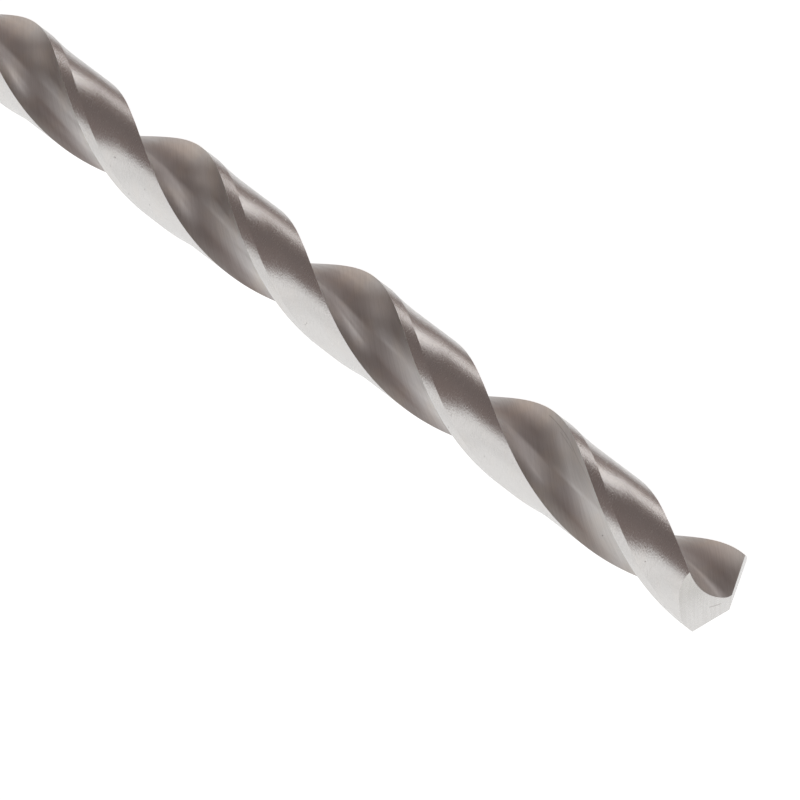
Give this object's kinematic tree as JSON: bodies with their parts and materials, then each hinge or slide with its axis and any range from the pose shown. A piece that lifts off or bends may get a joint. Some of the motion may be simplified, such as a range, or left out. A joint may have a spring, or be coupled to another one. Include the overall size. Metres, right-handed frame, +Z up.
{
  "type": "twist drill bit",
  "caption": "Long-series twist drill with right-hand helical flutes, narrow margins, conically ground point and a plain cylindrical shank.",
  "frame": {"origin": "on the drill's axis at the middle of the plain shank, halfway between the shank's end and the end of the flute run-out", "axes": "+X along the drill's axis towards the point, +Z up from the surface that the drill lies on, its lips turned up 32.8 degrees from level"},
  "size_m": [0.139, 0.006, 0.006],
  "materials": {
    "bright_tool_steel": "bright ground high-speed steel with fine wheel marks"
  },
  "bodies": {
    "root": {"twist_drill": "bright_tool_steel"}
  },
  "joints": []
}
